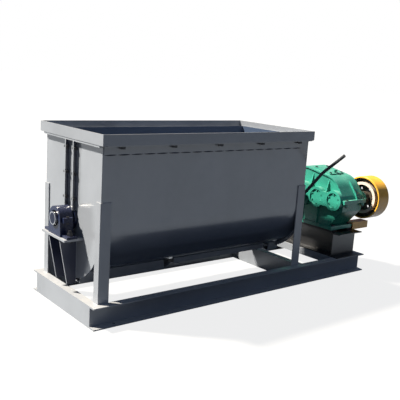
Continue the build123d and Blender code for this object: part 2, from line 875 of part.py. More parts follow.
# Bolts of the split flange, through pads under it
split_bolts = []
pad_bottom = shaft_height - case_split_flange - bolt_pad
split_grip = 2 * case_split_flange + bolt_pad
for x in (case_left + case_bolt_inset, case_right - case_bolt_inset):
    for y in (split_y[0] + case_split_reach / 2, split_y[1] - case_split_reach / 2):
        point = (x, y, shaft_height + case_split_flange)
        drill = hole(point, -Z, case_bolt_r, split_grip)
        cover -= drill
        lower = lower + rod((x, y, pad_bottom), Z, bolt_pad, bolt_pad_r) - drill
        split_bolts.append(bolt(point, -Z, case_bolt_r, split_grip))

# Inspection hatch on the flat between the dome and the shoulder, with its breather
slope = math.asin((dome_r - shoulder_r) / -shoulder_y)
normal = Vector(0, -math.sin(slope), math.cos(slope))
downhill = Vector(0, -math.cos(slope), -math.sin(slope))
hatch_centre = Vector((case_left + case_right) / 2, shoulder_y / 2, shaft_height)
hatch_centre += normal * ((dome_r + shoulder_r) / 2)
hatch_plane = Plane(origin=hatch_centre, x_dir=X, z_dir=normal)
hatch = extrude(hatch_plane * RectangleRounded(hatch_width, hatch_length, hatch_corner), hatch_thickness)
breather_foot = hatch_centre + normal * hatch_thickness + downhill * breather_along
breather = rod(breather_foot, normal, breather_stem, breather_stem_r)
breather += rod(breather_foot + normal * breather_stem, normal, breather_head, breather_head_r)
parts["reducer_base"] = lower - foot_drills
parts["reducer_cover"] = cover
parts["reducer_bearing_caps"] = caps
parts["bearing_outer_rings"] = outer_rings + case_rings
parts["reducer_hatch"] = Part() + [hatch, breather]
parts["reducer_bolts"] = Part() + (split_bolts + foot_bolts + bracket_bolts)


# Gears with involute flanks
def gear(teeth, module, span, y, phase):
    """phase is the angle of one tooth's middle, in degrees from +Y towards +Z."""
    pitch = teeth * module / 2
    base = pitch * math.cos(math.radians(pressure_angle))
    root = pitch - dedendum_share * module
    tip = pitch + addendum_share * module

    def half_angle(radius):
        def involute(at):
            angle = math.acos(min(1, base / at))
            return math.tan(angle) - angle

        return tooth_share * math.pi / teeth + involute(pitch) - involute(max(radius, base))

    radii = (root, max(base, root + root_step), pitch, tip)
    points = []
    for number in range(teeth):
        middle = math.radians(phase) + 2 * math.pi * number / teeth
        for side, order in ((-1, radii), (1, radii[::-1])):
            for radius in order:
                angle = middle + side * half_angle(radius)
                points.append((y + radius * math.cos(angle), shaft_height + radius * math.sin(angle)))
    return slab_x(outline(*points), *span)


high_left = case_left + boss_depth + gear_side_gap
high_face = (high_left, high_left + high_gear_width)
low_face = (high_face[1] + gear_middle_gap, high_face[1] + gear_middle_gap + low_gear_width)
output_gear = gear(low_gear_teeth, low_module, low_face, 0, 180)
output_gear -= rod_x(low_face[0] - overrun, low_face[1] + overrun, 0, output_r + fit_gap)
low_pinion = gear(low_pinion_teeth, low_module, low_face, counter_y, 180 / low_pinion_teeth)
counter_gear = gear(high_gear_teeth, high_module, high_face, counter_y, 180)
counter_gear -= rod_x(high_face[0] - overrun, high_face[1] + overrun, counter_y, counter_r + fit_gap)
high_pinion = gear(high_pinion_teeth, high_module, high_face, input_y, 180 / high_pinion_teeth)

pulley_left = snout_end + pulley_gap
pulley_right = pulley_left + pulley_width
output_shaft = rod_x(coupling_centre + coupling_gap / 2, shaft_stop, 0, output_r)
countershaft = rod_x(shaft_start, shaft_stop, counter_y, counter_r) + low_pinion
input_shaft = rod_x(shaft_start, pulley_right + shaft_end_proud, input_y, input_r) + high_pinion
for x0, x1 in ring_spans:
    race_span = (x0 + ring_side_gap, x1 - ring_side_gap)
    rotor_rings += ring_x(*race_span, 0, output_bore_r - race_wall, output_r + fit_gap)
    countershaft += rod_x(*race_span, counter_y, counter_bore_r - race_wall)
    input_shaft += rod_x(*race_span, input_y, input_bore_r - race_wall)
parts["bearing_inner_rings"] = rotor_rings
parts["output_shaft"] = output_shaft
parts["output_gear"] = output_gear
parts["countershaft"] = countershaft
parts["countershaft_gear"] = counter_gear
parts["input_shaft"] = input_shaft

# Belt pulley: flat rim, machined ring, recessed web and hub
web_left = pulley_left + pulley_web_recess
web_right = web_left + pulley_web
ring_left = pulley_left + pulley_ring_setback
hub_right_end = pulley_right - pulley_hub_setback
rim_inner = pulley_r - pulley_rim
pulley_outline = outline(
    (web_left, 0),
    (ring_left, 0),
    (ring_left, pulley_hub_r),
    (web_left, pulley_hub_r),
    (web_left, pulley_ring_inner),
    (ring_left, pulley_ring_inner),
    (ring_left, pulley_ring_outer),
    (web_left, pulley_ring_outer),
    (web_left, rim_inner),
    (pulley_left, rim_inner + pulley_chamfer),
    (pulley_left, pulley_r - pulley_chamfer),
    (pulley_left + pulley_chamfer, pulley_r),
    (pulley_right - pulley_chamfer, pulley_r),
    (pulley_right, pulley_r - pulley_chamfer),
    (pulley_right, rim_inner + pulley_chamfer),
    (web_right, rim_inner),
    (web_right, pulley_hub_r),
    (hub_right_end, pulley_hub_r),
    (hub_right_end, 0),
)
pulley = Pos(0, input_y, shaft_height) * revolve(Plane.XZ * pulley_outline, Axis.X)
pulley -= rod_x(pulley_left, pulley_right, input_y, input_r + fit_gap)
for number in range(pulley_web_holes):
    turn = 2 * math.pi * number / pulley_web_holes
    y = input_y + pulley_web_circle * math.cos(turn)
    z = shaft_height + pulley_web_circle * math.sin(turn)
    pulley -= rod_x(web_left - overrun, web_right + overrun, y, pulley_web_hole_r, z)
parts["belt_pulley"] = pulley


# Discharge gate: curved flap, hinged on a shaft beside the mouth
def below_axis(radius, angle):
    """Y and Z of a point under the mixer's axis, angle in degrees towards +Y."""
    turn = math.radians(angle)
    return radius * math.sin(turn), shaft_height - radius * math.cos(turn)


hinge = below_axis(trough_half_width + hinge_offset, hinge_angle)
trough_disc = rod_x(trough_left, trough_right, 0, trough_half_width)
flap_inner = trough_half_width + gate_gap
flap_outer = flap_inner + gate_sheet
flap = ring_x(gate_left, gate_right, 0, flap_outer, flap_inner)
flap &= block(gate_left, gate_right, -gate_half_width, gate_half_width, 0, shaft_height)
flap_disc = rod_x(trough_left, trough_right, 0, flap_outer)


def strap(x, thickness, near_r, far, far_r):
    """Plate from the hinge to a far point, drawn in the Y-Z plane."""
    ends = Pos(*hinge) * Circle(near_r) + Pos(*far) * Circle(far_r)
    return slab_x(make_hull(ends.edges()), x - thickness / 2, x + thickness / 2)


strap_y = strap_tip_inset - gate_half_width
strap_tip = (strap_y, shaft_height - math.sqrt((trough_half_width + strap_tip_offset) ** 2 - strap_y**2))
lug_foot = below_axis(trough_half_width, lug_angle)
edge_top = shaft_height - math.sqrt(flap_outer**2 - gate_half_width**2)
lip_z = (edge_top - gate_lip_height, edge_top)
straps = block(gate_left, gate_right, -gate_half_width, gate_sheet - gate_half_width, *lip_z)
for share in strap_shares:
    straps += strap(gate_left + gate_length * share, strap_thickness, strap_r, strap_tip, strap_tip_r)
straps -= rod_x(gate_left, gate_right, hinge[0], gate_shaft_r + fit_gap, hinge[1]) + flap_disc
lugs = Part()
for x in [gate_left + gate_length * share for share in lug_shares] + [shell_right - last_lug_inset]:
    lugs += strap(x, lug_thickness, lug_r, lug_foot, lug_foot_r)
lugs -= rod_x(gate_left, shell_right, hinge[0], gate_shaft_r + fit_gap, hinge[1]) + trough_disc
lever_x = trough_right + bracket_reach + lever_from_bracket
gate_shaft = rod_x(gate_left + gate_shaft_inset, lever_x + lever_hub_half, hinge[0], gate_shaft_r, hinge[1])
parts["gate_hinge_lugs"] = lugs
parts["gate_flap"] = flap
parts["gate_straps"] = straps
parts["gate_shaft"] = gate_shaft

# Hand lever, bent once
lever_path = FilletPolyline(
    (lever_x, *hinge),
    (lever_x, -trough_half_width - lever_bend_out, shaft_height + lever_bend_rise),
    (lever_x, -trough_half_width - lever_tip_out, shaft_height + lever_tip_rise),
    radius=lever_bend_r,
)
lever_section = Plane(origin=lever_path @ 0, z_dir=lever_path % 0) * Circle(lever_r)
lever = sweep(lever_section, path=lever_path)
lever += rod_x(lever_x - lever_hub_half, lever_x + lever_hub_half, hinge[0], lever_hub_r, hinge[1])
hub_length = 2 * lever_hub_half
lever -= rod_x(lever_x - hub_length, lever_x + hub_length, hinge[0], gate_shaft_r + fit_gap, hinge[1])
parts["gate_lever"] = lever


# Keels: shallow channels that stiffen the trough bottom beside the gate, bent up at the gate's end
def keel(outer_x, inner_x):
    inward = math.copysign(1, inner_x - outer_x)
    bottom = trough_bottom - keel_depth
    rise = keel_depth - keel_sheet - keel_jog_gap
    bend_x = inner_x - inward * keel_jog_run
    slant_x = bend_x - inward * keel_end_slant
    top = trough_bottom + keel_depth
    side_plate = outline((outer_x, bottom), (bend_x, bottom), (slant_x, top), (outer_x, top))
    floor_plate = outline(
        (outer_x, bottom),
        (bend_x, bottom),
        (inner_x, bottom + rise),
        (inner_x, bottom + rise + keel_sheet),
        (bend_x, bottom + keel_sheet),
        (outer_x, bottom + keel_sheet),
    )
    whole = slab_y(floor_plate, 0, 2 * keel_half_width)
    for side in (-1, 1):
        whole += slab_y(side_plate, side * (keel_half_width - keel_sheet / 2), keel_sheet)
    return whole - trough_disc


parts["keels"] = keel(shell_left, gate_left - keel_gap) + keel(shell_right, gate_right + keel_gap)

os.makedirs("parts", exist_ok=True)
for name, shape in parts.items():
    shape.label = name
    export_step(shape, "parts/" + name + ".step")
    print(name, len(shape.solids()), round(shape.volume))
print("nodes", len(parts))
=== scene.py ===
import math

import bmesh
import bpy
from mathutils import Matrix, Vector


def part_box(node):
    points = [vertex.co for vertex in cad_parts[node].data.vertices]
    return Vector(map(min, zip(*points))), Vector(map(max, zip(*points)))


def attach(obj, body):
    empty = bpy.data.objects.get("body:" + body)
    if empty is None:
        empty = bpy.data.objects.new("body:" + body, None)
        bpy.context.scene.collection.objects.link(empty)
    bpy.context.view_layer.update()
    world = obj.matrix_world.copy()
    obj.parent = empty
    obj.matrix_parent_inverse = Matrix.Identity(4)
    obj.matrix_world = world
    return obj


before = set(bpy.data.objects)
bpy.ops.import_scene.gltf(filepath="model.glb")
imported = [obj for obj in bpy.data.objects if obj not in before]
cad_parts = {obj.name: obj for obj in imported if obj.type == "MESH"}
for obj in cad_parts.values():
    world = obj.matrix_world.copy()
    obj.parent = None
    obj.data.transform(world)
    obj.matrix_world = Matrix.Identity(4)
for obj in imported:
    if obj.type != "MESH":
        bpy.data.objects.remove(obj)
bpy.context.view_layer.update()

# Camera: where it stands, in metres, where it points and how far it is tilted, in degrees, and its lens
# and sensor, in millimetres
camera_place = (-2.738, -3.191, 1.401)
camera_azimuth = 38.94
camera_down = 11.51
camera_roll = 3.57
camera_lens = 57.5
camera_sensor = 36

# Light: one strong sun from behind the left end, a few degrees wide, over a dim blue sky that is
# darker at the horizon. Sunlit faces come out brighter than their paint and shaded ones darker.
to_sun = (-1.0, 1.0, 1.68)
sun_strength = 12.8
sun_softness = 4
sky_top = 0.27
sky_horizon = 0.085
sky_tint = (0.66, 0.86, 1.24)
sun_tint = (1.0, 0.93, 0.8)

# Floor: what the camera sees is floor_tone and floor_glow, what falls back on the machine is floor_bounce,
# and what glossy paint mirrors is floor_mirrored
floor_tone = 0.06
floor_glow = 0.835
floor_bounce = (0.02, 0.018, 0.016)
floor_mirrored = (0.215, 0.25, 0.305)

# Half the floor's width, and how far the camera sees, in metres
floor_half = 60
camera_reach = 200

# Paint colours, as linear red, green and blue
slate = (0.243, 0.262, 0.3)
slate_dark = (0.011, 0.017, 0.05)
enamel_green = (0.034, 0.29, 0.215)
pulley_yellow = (0.86, 0.45, 0.05)
black_oxide = (0.022, 0.022, 0.026)
lever_grey = (0.06, 0.065, 0.075)
bare_steel = (0.52, 0.52, 0.53)
ground_steel = (0.62, 0.62, 0.63)
rust_tone = (0.2, 0.085, 0.035)
machined_cream = ((0.62, 0.5, 0.42), (0.86, 0.74, 0.66))
# The dark browns below are painted shade on the pulley's web
web_painted_shade = ((0.035, 0.03, 0.026), (0.09, 0.07, 0.05))
dust_tone = (0.46, 0.42, 0.36)

# Painted shade by place: black on the reducer's stand, navy inside and under the trough
stand_painted_shade = (0.012, 0.012, 0.014)
trough_painted_shade = (0.06, 0.085, 0.14)

# Where paints and painted shade meet, in metres. A pair is where the change begins and where it ends.
stand_before = (0.06, 0.05)
stand_above = 0.001
wall_inside = (0.003, 0.002)
trough_end = 0.0005
left_of_trough = (0.009, 0.0085)
flanks_within = (0.139, 0.14)
pulley_rim_inside = (0.1455, 0.147)
pulley_ring_outside = (0.1165, 0.1175)
pulley_ring_inside = (0.0955, 0.0965)
# The radius below is of painted shade on the agitator shaft's end
end_shade_radius = 0.031
end_face = (0.0005, 0.001)

# The same for how far a face leans: its normal along Z under the trough, and along Y on a flank
looking_down = (-0.5, -0.06)
looking_sideways = (0.6, 0.7)

# How much painted shade the faces under the trough get, from 0 to 1
shade_below = 0.8

# Welds and screws: lengths in metres, the hatch's slope in radians
stitch_length = 0.074
stitch_radius = 0.0045
stitch_pitch = 0.082
bead_segments = 10
bead_rings = 6
hex_sides = 6
screw_radius = 0.0065
screw_head = 0.006
screw_sunk = 0.0005
screws_per_cap = 6
output_cap_circle = 0.066
countershaft_cap_circle = 0.047
input_cap_circle = 0.045
hatch_screw_radius = 0.009
hatch_screws_apart = (0.12, 0.14)
hatch_screw_counts = (2, 2)
hatch_slope = 0.171
hatch_drop = 0.094
hatch_reach = 0.192

# Places read from the frame
shaft_height = (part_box("main_shaft")[0].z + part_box("main_shaft")[1].z) / 2
shaft_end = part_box("main_shaft")[0].x
shell_low, shell_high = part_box("trough_shell")
stand_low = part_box("stand_channel_front")[0]
pulley_low, pulley_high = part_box("belt_pulley")
pulley_centre = (pulley_low + pulley_high) / 2


# Node helpers

class Wiring:
    """Adds nodes to a tree and links them."""

    def node(self, kind, **settings):
        made = self.tree.nodes.new(kind)
        for name, value in settings.items():
            setattr(made, name, value)
        return made

    def link(self, source, target):
        self.tree.links.new(source, target)


class Finish(Wiring):
    """A material in the making: its tree, its shader and the place that its patterns read."""

    def __init__(self, name):
        self.material = bpy.data.materials.new(name)
        self.material.use_nodes = True
        self.tree = self.material.node_tree
        self.tree.nodes.clear()
        output = self.node("ShaderNodeOutputMaterial")
        self.shader = self.node("ShaderNodeBsdfPrincipled")
        self.link(self.shader.outputs["BSDF"], output.inputs["Surface"])
        self.coordinates = self.node("ShaderNodeTexCoord")
        self.place = self.coordinates.outputs["Object"]

    def fill(self, socket, value):
        """Link an output to a socket, or set the socket's own value."""
        if isinstance(value, bpy.types.NodeSocket):
            self.link(value, socket)
        elif isinstance(value, tuple) and len(value) == 3 and socket.type == "RGBA":
            socket.default_value = (*value, 1)
        else:
            socket.default_value = value

    def set(self, **values):
        for name, value in values.items():
            self.fill(self.shader.inputs[name.replace("_", " ")], value)

    def stretched(self, scale, centre=(0, 0, 0)):
        mapping = self.node("ShaderNodeMapping")
        self.link(self.place, mapping.inputs["Vector"])
        mapping.inputs["Scale"].default_value = scale
        mapping.inputs["Location"].default_value = [-at * factor for at, factor in zip(centre, scale)]
        return mapping.outputs["Vector"]

    def part_of(self, vector, axis):
        parts = self.node("ShaderNodeSeparateXYZ")
        self.link(vector, parts.inputs["Vector"])
        return parts.outputs[axis]

    def along(self, axis):
        """Place along one axis, in metres."""
        return self.part_of(self.place, axis)

    def facing(self, axis):
        """How far a face looks along one axis, from -1 to 1."""
        return self.part_of(self.coordinates.outputs["Normal"], axis)

    def off_axis(self, y, z):
        """Distance from a line along X."""
        length = self.node("ShaderNodeVectorMath", operation="LENGTH")
        self.link(self.stretched((0.0, 1.0, 1.0), (0.0, y, z)), length.inputs[0])
        return length.outputs["Value"]

    def noise(self, scale, detail=3.0, roughness=0.55, vector=None):
        made = self.node("ShaderNodeTexNoise")
        self.link(vector or self.place, made.inputs["Vector"])
        made.inputs["Scale"].default_value = scale
        made.inputs["Detail"].default_value = detail
        made.inputs["Roughness"].default_value = roughness
        return made.outputs["Fac"]

    def between(self, value, low, high, to_low=0.0, to_high=1.0):
        made = self.node("ShaderNodeMapRange")
        self.link(value, made.inputs["Value"])
        ends = {"From Min": low, "From Max": high, "To Min": to_low, "To Max": to_high}
        for name, number in ends.items():
            made.inputs[name].default_value = number
        return made.outputs["Result"]

    def math(self, operation, first, second=0.5):
        made = self.node("ShaderNodeMath", operation=operation)
        self.fill(made.inputs[0], first)
        self.fill(made.inputs[1], second)
        return made.outputs[0]

    def mix(self, factor, first, second):
        made = self.node("ShaderNodeMix", data_type="RGBA")
        self.fill(made.inputs[0], factor)
        self.fill(made.inputs[6], first)
        self.fill(made.inputs[7], second)
        return made.outputs[2]

    def upward(self, low=0.35, high=0.95):
        """1 on faces that look up, 0 on the others."""
        return self.between(self.facing("Z"), low, high)

    def bump(self, *layers):
        """Each layer is a height, its strength and its depth in metres."""
        below = None
        for height, strength, depth in layers:
            made = self.node("ShaderNodeBump")
            made.inputs["Strength"].default_value = strength
            made.inputs["Distance"].default_value = depth
            self.link(height, made.inputs["Height"])
            if below:
                self.link(below, made.inputs["Normal"])
            below = made.outputs["Normal"]
        self.link(below, self.shader.inputs["Normal"])


def shade(colour, factor):
    return tuple(channel * factor for channel in colour)


# Finishes of the record's slots

def stand_shade_mask(finish):
    """Painted shade mask: 1 on the reducer's stand, 0 on the other sections."""
    start, end = (stand_low.x - before for before in stand_before)
    beyond = finish.between(finish.along("X"), start, end)
    above = finish.between(finish.along("Z"), stand_low.z, stand_low.z + stand_above)
    return finish.math("MULTIPLY", beyond, above)


def trough_shade_mask(finish):
    """Painted shade mask: 1 on the trough's inner faces, up to the amount of painted shade set for faces
    below on faces that look down, 0 on the others.
    """
    drop = finish.math("MINIMUM", finish.math("SUBTRACT", finish.along("Z"), shaft_height), 0.0)
    squares = (finish.math("POWER", drop, 2.0), finish.math("POWER", finish.along("Y"), 2.0))
    reach = finish.math("SQRT", finish.math("ADD", *squares))
    start, end = (shell_high.y - depth for depth in wall_inside)
    wall = finish.between(reach, start, end, 1.0, 0.0)
    left = finish.between(finish.along("X"), shell_low.x - trough_end, shell_low.x)
    right = finish.between(finish.along("X"), shell_high.x, shell_high.x + trough_end, 1.0, 0.0)
    inside = finish.math("MULTIPLY", wall, finish.math("MULTIPLY", left, right))
    below = finish.between(finish.facing("Z"), *looking_down, shade_below, 0.0)
    return finish.math("MAXIMUM", inside, below)


def flank_shade_mask(finish):
    """Painted shade mask: 1 on the sides of the plates that stand out from the left end plate, 0 elsewhere.
    """
    start, end = (shell_low.x - before for before in left_of_trough)
    outside = finish.between(finish.along("X"), start, end, 1.0, 0.0)
    near = finish.between(finish.math("ABSOLUTE", finish.along("Y")), *flanks_within, 1.0, 0.0)
    sideways = finish.between(finish.math("ABSOLUTE", finish.facing("Y")), *looking_sideways)
    return finish.math("MULTIPLY", finish.math("MULTIPLY", outside, near), sideways)


def enamel(name, colour, gloss=0.36, dust=0.5, waves=0.0, shine=1.7, shade_mask=None, shade_colour=stand_painted_shade):
    """Sprayed enamel on steel: uneven film, runs, rubbed spots and dust on top.

    Where the shade mask is 1 the colour is painted shade, and the flanks of the left end's plates get dark
    slate as painted shade.
    """
    finish = Finish(name)
    drift = finish.noise(2.1, 4)
    cloud = finish.noise(11, 5, 0.6)
    runs = finish.noise(9, 4, 0.6, finish.stretched((1.0, 1.0, 0.12)))
    speck = finish.noise(240, 2)
    tone = finish.mix(finish.between(drift, 0.35, 0.65), shade(colour, 0.9), shade(colour, 1.1))
    tone = finish.mix(finish.between(runs, 0.45, 0.75, 0.0, 0.15), tone, shade(colour, 1.25))
    tone = finish.mix(finish.between(cloud, 0.56, 0.72, 0.0, 0.15), tone, shade(colour, 0.8))
    lying = finish.math("MULTIPLY", finish.upward(), finish.between(cloud, 0.3, 0.7, 0.15, dust))
    tone = finish.mix(lying, tone, dust_tone)
    rubbed = finish.between(finish.noise(34, 6, 0.7), 0.66, 0.74, 0.0, 0.16)
    tone = finish.mix(rubbed, tone, shade(colour, 1.5))
    # Painted shade where the mask is 1, and dark slate as painted shade on the flanks of the left end's
    # plates
    if shade_mask:
        tone = finish.mix(shade_mask(finish), tone, shade_colour)
        # Dark slate on these flanks is painted shade
        tone = finish.mix(flank_shade_mask(finish), tone, slate_dark)
    rough = finish.between(cloud, 0.3, 0.7, gloss - 0.03, gloss + 0.04)
    rough = finish.math("ADD", rough, finish.math("MULTIPLY", lying, 0.35))
    finish.set(Base_Color=tone, Roughness=rough, IOR=shine, Coat_Weight=0.08, Coat_Roughness=0.12)
    layers = [(speck, 0.06, 0.0003)]
    if waves:
        layers.append((finish.noise(2.6, 2), waves, 0.012))
    finish.bump(*layers)
    return finish.material


def cast_paint(name, colour, gloss=0.3, dust=0.4, shine=1.5):
    """Enamel over a casting, whose skin shows through as fine lumps."""
    finish = Finish(name)
    skin = finish.noise(95, 4, 0.6)
    lumps = finish.noise(26, 3)
    cloud = finish.noise(8, 5, 0.6)
    tone = finish.mix(finish.between(cloud, 0.35, 0.7), shade(colour, 0.85), shade(colour, 1.18))
    tone = finish.mix(finish.between(lumps, 0.58, 0.7, 0.0, 0.3), tone, shade(colour, 0.6))
    lying = finish.math("MULTIPLY", finish.upward(), finish.between(cloud, 0.35, 0.7, 0.05, dust))
    tone = finish.mix(lying, tone, dust_tone)
    rough = finish.between(skin, 0.3, 0.7, gloss - 0.05, gloss + 0.15)
    finish.set(Base_Color=tone, Roughness=rough, IOR=shine, Coat_Weight=0.12, Coat_Roughness=0.14)
    finish.bump((skin, 0.3, 0.0012), (lumps, 0.25, 0.003))
    return finish.material


def turned_steel(name, colour=bare_steel, rust=0.25):
    """Turned or ground steel: fine rings along X and a few rusty stains.

    The middle of the agitator shaft's left end is dark slate, as painted shade of a hollow end.
    """
    finish = Finish(name)
    rings = finish.noise(60, 3, 0.6, finish.stretched((14.0, 1.0, 1.0)))
    stain = finish.noise(14, 5, 0.65)
    tone = finish.mix(finish.between(rings, 0.35, 0.65), shade(colour, 0.78), shade(colour, 1.15))
    tone = finish.mix(finish.between(stain, 0.56, 0.72, 0.0, rust), tone, rust_tone)
    # Painted shade: dark slate in the middle of the shaft's left end
    face, behind = (shaft_end + depth for depth in end_face)
    end = finish.between(finish.along("X"), face, behind, 1.0, 0.0)
    middle = finish.between(finish.off_axis(0.0, shaft_height), end_shade_radius, end_shade_radius + 0.001, 1.0, 0.0)
    tone = finish.mix(finish.math("MULTIPLY", end, middle), tone, slate_dark)
    rough = finish.between(rings, 0.3, 0.7, 0.22, 0.38)
    finish.set(Base_Color=tone, Roughness=rough, Metallic=1.0)
    finish.bump((rings, 0.18, 0.0004))
    return finish.material


def oxide(name, colour):
    """Black oxide or dark varnish on steel, rubbed brighter in places."""
    finish = Finish(name)
    wear = finish.noise(70, 5, 0.7)
    tone = finish.mix(finish.between(wear, 0.55, 0.75, 0.0, 0.6), colour, shade(colour, 4.0))
    rough = finish.between(wear, 0.3, 0.7, 0.34, 0.52)
    finish.set(Base_Color=tone, Roughness=rough, Metallic=0.35)
    finish.bump((finish.noise(400, 2), 0.2, 0.0004))
    return finish.material


def pulley_finish(name):
    """Yellow enamel on the rim, a machined ring on the face and painted shade in dark brown on the web."""
    finish = Finish(name)
    centre = (0, pulley_centre.y, pulley_centre.z)
    radius = finish.off_axis(pulley_centre.y, pulley_centre.z)
    cloud = finish.noise(16, 5, 0.6)
    skin = finish.noise(120, 3)
    shades = (shade(pulley_yellow, factor) for factor in (0.85, 1.1))
    yellow = finish.mix(finish.between(cloud, 0.35, 0.7), *shades)
    turned = finish.noise(160, 2, 0.5, finish.stretched((1.0, 0.05, 1.0), centre))
    cream = finish.mix(turned, *machined_cream)
    # Dark browns on the web are painted shade
    dark = finish.mix(finish.between(cloud, 0.4, 0.7), *web_painted_shade)
    rim_inside = finish.between(radius, *pulley_rim_inside)
    ring_out = finish.between(radius, *pulley_ring_outside)
    ring_in = finish.between(radius, *pulley_ring_inside)
    tone = finish.mix(ring_in, dark, cream)
    tone = finish.mix(ring_out, tone, dark)
    tone = finish.mix(rim_inside, tone, yellow)
    rough = finish.between(skin, 0.3, 0.7, 0.3, 0.45)
    finish.set(Base_Color=tone, Roughness=rough, Coat_Weight=0.25, Coat_Roughness=0.15)
    finish.bump((skin, 0.25, 0.0008), (cloud, 0.15, 0.002))
    return finish.material


def weld_shade_metal(name):
    """Bead of weld with its ripples, coloured near black as painted shade of the gap along the band's edge.
    """
    finish = Finish(name)
    ripple = finish.noise(420, 3, 0.6)
    # The near-black tone is painted shade of the gap along the band's edge
    tone = finish.mix(ripple, shade(slate_dark, 0.2), shade(slate_dark, 0.7))
    finish.set(Base_Color=tone, Roughness=0.5)
    finish.bump((ripple, 0.5, 0.0008))
    return finish.material


finishes = {
    "frame_paint": enamel("frame_paint", slate, dust=0.35, shade_mask=stand_shade_mask),
    "trough_paint": enamel(
        "trough_paint", slate, gloss=0.19, dust=0.3, waves=0.05, shine=1.75,
        shade_mask=trough_shade_mask, shade_colour=trough_painted_shade,
    ),
    "bearing_paint": cast_paint("bearing_paint", slate_dark, 0.22, 0.03, 1.3),
    "bolt_steel": oxide("bolt_steel", black_oxide),
    "bearing_steel": turned_steel("bearing_steel", ground_steel, 0.05),
    "reducer_paint": cast_paint("reducer_paint", enamel_green, 0.26, 0.2),
    "packing_steel": oxide("packing_steel", shade(black_oxide, 0.8)),
    "pulley_paint": pulley_finish("pulley_paint"),
    "shaft_steel": turned_steel("shaft_steel"),
    "ribbon_steel": enamel("ribbon_steel", slate, dust=0.6),
    "coupling_iron": cast_paint("coupling_iron", shade(slate_dark, 0.8), 0.4),
    "lever_paint": enamel("lever_paint", lever_grey),
}
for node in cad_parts.values():
    for place, old in enumerate(node.data.materials):
        node.data.materials[place] = finishes[old.name.split(".")[0]]


# Pieces that repeat, grown by rules

class Rule(Wiring):
    """A geometry tree in the making, with its own named inputs."""

    def __init__(self, name, material):
        self.tree = bpy.data.node_groups.new(name, "GeometryNodeTree")
        self.tree.interface.new_socket("Geometry", in_out="OUTPUT", socket_type="NodeSocketGeometry")
        self.material = material
        self.values = {}
        self.source = self.node("NodeGroupInput")

    def input(self, label, kind, value):
        socket = self.tree.interface.new_socket(label, in_out="INPUT", socket_type="NodeSocket" + kind)
        self.values[socket.identifier] = value
        return self.source.outputs[label]

    def moved(self, geometry, place=None, turn=None, size=None):
        made = self.node("GeometryNodeTransform")
        self.link(geometry, made.inputs["Geometry"])
        for name, value in (("Translation", place), ("Rotation", turn), ("Scale", size)):
            if isinstance(value, bpy.types.NodeSocket):
                self.link(value, made.inputs[name])
            elif value:
                made.inputs[name].default_value = value
        return made.outputs["Geometry"]

    def repeated(self, points, shape):
        made = self.node("GeometryNodeInstanceOnPoints")
        self.link(points, made.inputs["Points"])
        self.link(shape, made.inputs["Instance"])
        return made.outputs["Instances"]

    def grown(self, instances):
        """Make the instances real and return them as a plain mesh."""
        real = self.node("GeometryNodeRealizeInstances")
        self.link(instances, real.inputs["Geometry"])
        dressed = self.node("GeometryNodeSetMaterial")
        self.link(real.outputs["Geometry"], dressed.inputs["Geometry"])
        dressed.inputs["Material"].default_value = self.material
        self.link(dressed.outputs["Geometry"], self.node("NodeGroupOutput").inputs["Geometry"])
        holder = bpy.data.objects.new(self.tree.name, bpy.data.meshes.new(self.tree.name))
        bpy.context.scene.collection.objects.link(holder)
        modifier = holder.modifiers.new("rule", "NODES")
        modifier.node_group = self.tree
        for identifier, value in self.values.items():
            modifier[identifier] = value
        depsgraph = bpy.context.evaluated_depsgraph_get()
        mesh = bpy.data.meshes.new_from_object(holder.evaluated_get(depsgraph))
        bpy.data.objects.remove(holder)
        return mesh


def hex_head(rule, radius, height):
    head = rule.node("GeometryNodeMeshCylinder")
    head.inputs["Vertices"].default_value = hex_sides
    rule.link(rule.input("Head radius", "Float", radius), head.inputs["Radius"])
    rule.link(rule.input("Head height", "Float", height), head.inputs["Depth"])
    return head.outputs["Mesh"]


def screw_ring(name, centre, circle, count, radius, height, material):
    """Hex heads on a circle about an axis along X."""
    rule = Rule(name, material)
    points = rule.node("GeometryNodeMeshCircle")
    rule.link(rule.input("Count", "Int", count), points.inputs["Vertices"])
    rule.link(rule.input("Circle", "Float", circle), points.inputs["Radius"])
    ring = rule.repeated(points.outputs["Mesh"], hex_head(rule, radius, height))
    place = rule.input("Centre", "Vector", centre)
    return rule.grown(rule.moved(ring, place, (0, math.pi / 2, 0)))


def screw_grid(name, centre, tilt, size, counts, radius, height, material):
    """Hex heads in rows on a plate that is tilted about X."""
    rule = Rule(name, material)
    points = rule.node("GeometryNodeMeshGrid")
    rule.link(rule.input("Width", "Float", size[0]), points.inputs["Size X"])
    rule.link(rule.input("Length", "Float", size[1]), points.inputs["Size Y"])
    rule.link(rule.input("Columns", "Int", counts[0]), points.inputs["Vertices X"])
    rule.link(rule.input("Rows", "Int", counts[1]), points.inputs["Vertices Y"])
    rows = rule.repeated(points.outputs["Mesh"], hex_head(rule, radius, height))
    return rule.grown(rule.moved(rows, rule.input("Centre", "Vector", centre), (tilt, 0, 0)))


def stitch_row(name, start, step, count, length, radius, material):
    """Short weld beads along X."""
    rule = Rule(name, material)
    points = rule.node("GeometryNodeMeshLine")
    rule.link(rule.input("Count", "Int", count), points.inputs["Count"])
    rule.link(rule.input("Start", "Vector", start), points.inputs["Start Location"])
    rule.link(rule.input("Step", "Vector", step), points.inputs["Offset"])
    bead = rule.node("GeometryNodeMeshUVSphere")
    bead.inputs["Segments"].default_value = bead_segments
    bead.inputs["Rings"].default_value = bead_rings
    size = rule.input("Bead size", "Vector", (length / 2, radius, radius))
    shape = rule.moved(bead.outputs["Mesh"], size=size)
    return rule.grown(rule.repeated(points.outputs["Mesh"], shape))


def joined(name, meshes, material):
    """One object from several plain meshes, in its place."""
    whole = bmesh.new()
    for mesh in meshes:
        whole.from_mesh(mesh)
    bmesh.ops.recalc_face_normals(whole, faces=whole.faces)
    for face in whole.faces:
        face.material_index = 0
    mesh = bpy.data.meshes.new(name)
    whole.to_mesh(mesh)
    whole.free()
    mesh.materials.append(material)
    made = bpy.data.objects.new(name, mesh)
    bpy.context.scene.collection.objects.link(made)
    return made


